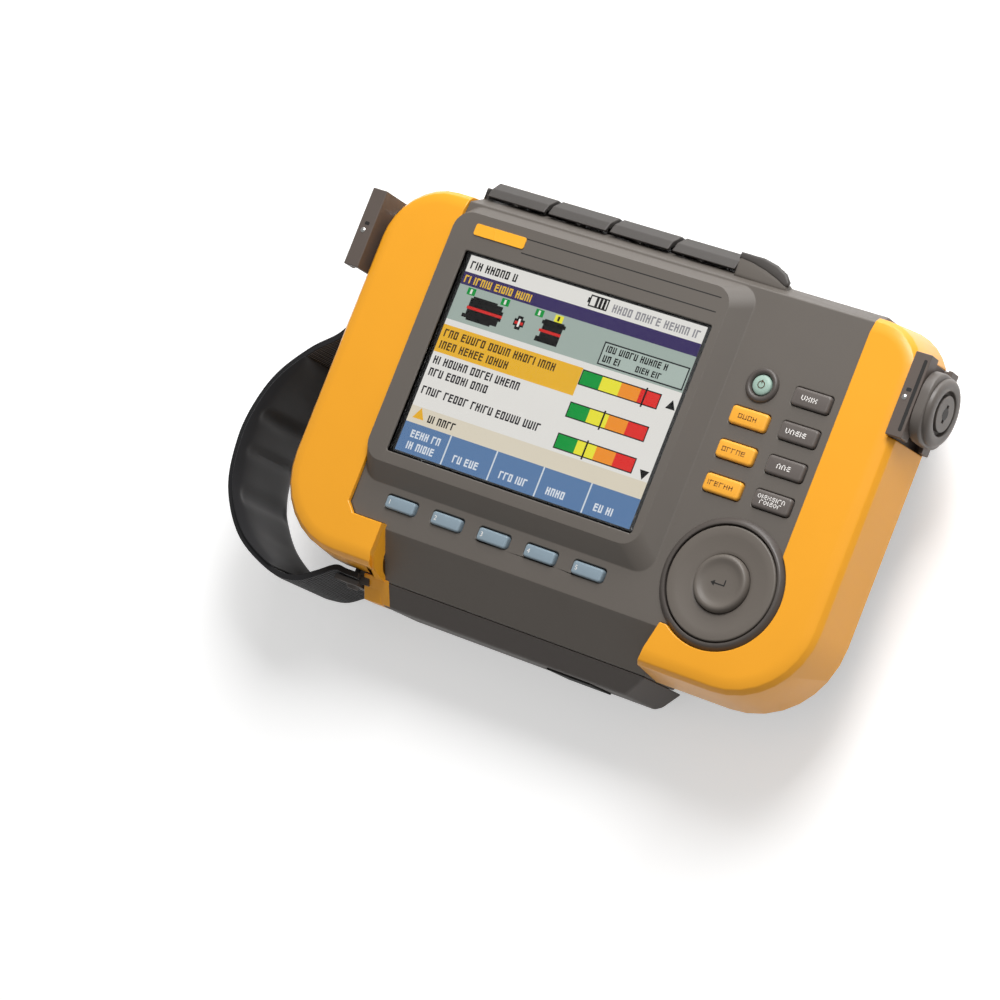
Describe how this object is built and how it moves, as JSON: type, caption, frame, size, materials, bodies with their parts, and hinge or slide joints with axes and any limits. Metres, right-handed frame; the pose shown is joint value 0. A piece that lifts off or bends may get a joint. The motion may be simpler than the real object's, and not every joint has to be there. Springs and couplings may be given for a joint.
{
  "type": "handheld vibration meter",
  "caption": "Handheld vibration meter with a colour screen, soft keys, key columns, navigation dial, port flaps, side rails with a slide-on hub and a padded hand strap.",
  "frame": {"origin": "on the plane of the four rear feet, under the middle of the case, strap and hub together", "axes": "+X to the meter's right, +Y to its upper edge, +Z out of the screen"},
  "size_m": [0.3031, 0.1869, 0.0705],
  "materials": {
    "case_grey": "fine matt moulded texture",
    "rear_grey": "fine matt moulded texture",
    "bumper_amber": "satin moulded",
    "heel_dark": "matt",
    "black_rubber": "matt rubber",
    "steel": "zinc plated",
    "window": "clear, hard coated",
    "display": "lit screen",
    "sheet_metal": "pressed sheet",
    "power_green": "satin silicone",
    "ring_dark": "satin",
    "dial_grey": "satin",
    "board_green": "solder mask",
    "flex_amber": "polyimide film",
    "battery_wrap": "shrink wrap",
    "contact_brass": "plated springs",
    "socket_black": "moulded",
    "socket_metal": "nickel plated",
    "rail_dark": "glass-filled moulding",
    "hub_grey": "satin",
    "strap_black": "woven webbing",
    "pad_black": "knitted spacer fabric",
    "plate_amber": "bare label",
    "soft_key_blue": "satin silicone",
    "key_amber": "satin silicone",
    "key_grey": "satin silicone",
    "flap_dark": "satin rubber"
  },
  "bodies": {
    "case": {"front_case": "case_grey", "rear_case": "rear_grey", "left_bumper": "bumper_amber", "right_bumper": "bumper_amber", "heel_bar": "heel_dark", "heel_pad": "black_rubber", "case_gasket": "black_rubber", "case_screws": "steel", "screen_lens": "window", "lens_gasket": "black_rubber", "lcd_panel": "display", "lcd_frame": "sheet_metal", "keypad_membrane": "black_rubber", "power_ring": "ring_dark", "dial_collar": "ring_dark", "main_board": "board_green", "keypad_board": "board_green", "board_screws": "steel", "chassis": "sheet_metal", "display_cable": "flex_amber", "battery_pack": "battery_wrap", "battery_contacts": "contact_brass", "rear_feet": "black_rubber", "hinge_rod": "steel", "power_jack": "socket_black", "tacho_socket": "socket_metal", "sensor_socket": "socket_metal", "data_socket": "socket_metal", "left_rail": "rail_dark", "right_rail": "rail_dark", "rail_screws": "steel", "hand_strap": "strap_black", "strap_pad": "pad_black", "strap_plates": "heel_dark", "nameplate": "plate_amber"},
    "soft_key_1": {"soft_key_1": "soft_key_blue"},
    "soft_key_2": {"soft_key_2": "soft_key_blue"},
    "soft_key_3": {"soft_key_3": "soft_key_blue"},
    "soft_key_4": {"soft_key_4": "soft_key_blue"},
    "soft_key_5": {"soft_key_5": "soft_key_blue"},
    "power_button": {"power_button": "power_green"},
    "amber_key_1": {"amber_key_1": "key_amber"},
    "amber_key_2": {"amber_key_2": "key_amber"},
    "amber_key_3": {"amber_key_3": "key_amber"},
    "grey_key_1": {"grey_key_1": "key_grey"},
    "grey_key_2": {"grey_key_2": "key_grey"},
    "grey_key_3": {"grey_key_3": "key_grey"},
    "grey_key_4": {"grey_key_4": "key_grey"},
    "enter_button": {"enter_button": "dial_grey"},
    "gimbal": {"nav_gimbal": "steel"},
    "nav_disc": {"nav_disc": "dial_grey"},
    "port_flap_1": {"port_flap_1": "flap_dark"},
    "port_flap_2": {"port_flap_2": "flap_dark"},
    "port_flap_3": {"port_flap_3": "flap_dark"},
    "port_flap_4": {"port_flap_4": "flap_dark"},
    "battery_door": {"battery_door": "rear_grey"},
    "door_screw_1": {"door_screw_1": "steel"},
    "door_screw_2": {"door_screw_2": "steel"},
    "hub": {"hub": "hub_grey"},
    "hub_screw": {"hub_screw": "hub_grey"}
  },
  "joints": [
    {"name": "soft_key_1_press", "type": "slide", "parent": "case", "child": "soft_key_1", "axis": [0, 0, -1], "range_m": [0, 0.0008], "stiffness_N_per_m": 900},
    {"name": "soft_key_2_press", "type": "slide", "parent": "case", "child": "soft_key_2", "axis": [0, 0, -1], "range_m": [0, 0.0008], "stiffness_N_per_m": 900},
    {"name": "soft_key_3_press", "type": "slide", "parent": "case", "child": "soft_key_3", "axis": [0, 0, -1], "range_m": [0, 0.0008], "stiffness_N_per_m": 900},
    {"name": "soft_key_4_press", "type": "slide", "parent": "case", "child": "soft_key_4", "axis": [0, 0, -1], "range_m": [0, 0.0008], "stiffness_N_per_m": 900},
    {"name": "soft_key_5_press", "type": "slide", "parent": "case", "child": "soft_key_5", "axis": [0, 0, -1], "range_m": [0, 0.0008], "stiffness_N_per_m": 900},
    {"name": "power_button_press", "type": "slide", "parent": "case", "child": "power_button", "axis": [0, 0, -1], "range_m": [0, 0.0008], "stiffness_N_per_m": 900},
    {"name": "amber_key_1_press", "type": "slide", "parent": "case", "child": "amber_key_1", "axis": [0, 0, -1], "range_m": [0, 0.0008], "stiffness_N_per_m": 900},
    {"name": "amber_key_2_press", "type": "slide", "parent": "case", "child": "amber_key_2", "axis": [0, 0, -1], "range_m": [0, 0.0008], "stiffness_N_per_m": 900},
    {"name": "amber_key_3_press", "type": "slide", "parent": "case", "child": "amber_key_3", "axis": [0, 0, -1], "range_m": [0, 0.0008], "stiffness_N_per_m": 900},
    {"name": "grey_key_1_press", "type": "slide", "parent": "case", "child": "grey_key_1", "axis": [0, 0, -1], "range_m": [0, 0.0008], "stiffness_N_per_m": 900},
    {"name": "grey_key_2_press", "type": "slide", "parent": "case", "child": "grey_key_2", "axis": [0, 0, -1], "range_m": [0, 0.0008], "stiffness_N_per_m": 900},
    {"name": "grey_key_3_press", "type": "slide", "parent": "case", "child": "grey_key_3", "axis": [0, 0, -1], "range_m": [0, 0.0008], "stiffness_N_per_m": 900},
    {"name": "grey_key_4_press", "type": "slide", "parent": "case", "child": "grey_key_4", "axis": [0, 0, -1], "range_m": [0, 0.0008], "stiffness_N_per_m": 900},
    {"name": "enter_press", "type": "slide", "parent": "case", "child": "enter_button", "axis": [0, 0, -1], "range_m": [0, 0.0008], "stiffness_N_per_m": 900},
    {"name": "nav_tilt_up_down", "type": "hinge", "parent": "case", "child": "gimbal", "pos_m": [0.09405, -0.03603, 0.0601], "axis": [1, 0, 0], "range_deg": [-2, 2], "stiffness_Nm_per_rad": 0.8},
    {"name": "nav_tilt_left_right", "type": "hinge", "parent": "gimbal", "child": "nav_disc", "pos_m": [0.09405, -0.03603, 0.0601], "axis": [0, 1, 0], "range_deg": [-2, 2], "stiffness_Nm_per_rad": 0.8},
    {"name": "port_flap_1_hinge", "type": "hinge", "parent": "case", "child": "port_flap_1", "pos_m": [-0.06145, 0.09087, 0.028], "axis": [-1, 0, 0], "range_deg": [0, 100]},
    {"name": "port_flap_2_hinge", "type": "hinge", "parent": "case", "child": "port_flap_2", "pos_m": [-0.03105, 0.09087, 0.028], "axis": [-1, 0, 0], "range_deg": [0, 100]},
    {"name": "port_flap_3_hinge", "type": "hinge", "parent": "case", "child": "port_flap_3", "pos_m": [-0.00065, 0.09087, 0.028], "axis": [-1, 0, 0], "range_deg": [0, 100]},
    {"name": "port_flap_4_hinge", "type": "hinge", "parent": "case", "child": "port_flap_4", "pos_m": [0.02975, 0.09087, 0.028], "axis": [-1, 0, 0], "range_deg": [0, 100]},
    {"name": "battery_door_hinge", "type": "hinge", "parent": "case", "child": "battery_door", "pos_m": [0.00895, -0.04177, 0.00305], "axis": [-1, 0, 0], "range_deg": [0, 70]},
    {"name": "door_screw_1_turn", "type": "hinge", "parent": "battery_door", "child": "door_screw_1", "pos_m": [-0.03705, 0.02848, 0.003], "axis": [0, 0, 1], "range_deg": [0, 90]},
    {"name": "door_screw_2_turn", "type": "hinge", "parent": "battery_door", "child": "door_screw_2", "pos_m": [0.05495, 0.02848, 0.003], "axis": [0, 0, 1], "range_deg": [0, 90]},
    {"name": "hub_slide", "type": "slide", "parent": "case", "child": "hub", "axis": [0, 1, 0], "range_m": [0, 0.03]},
    {"name": "hub_screw_turn", "type": "hinge", "parent": "hub", "child": "hub_screw", "pos_m": [0.14895, 0.05547, 0.0535], "axis": [1, 0, 0], "range_deg": [0, 90]}
  ]
}
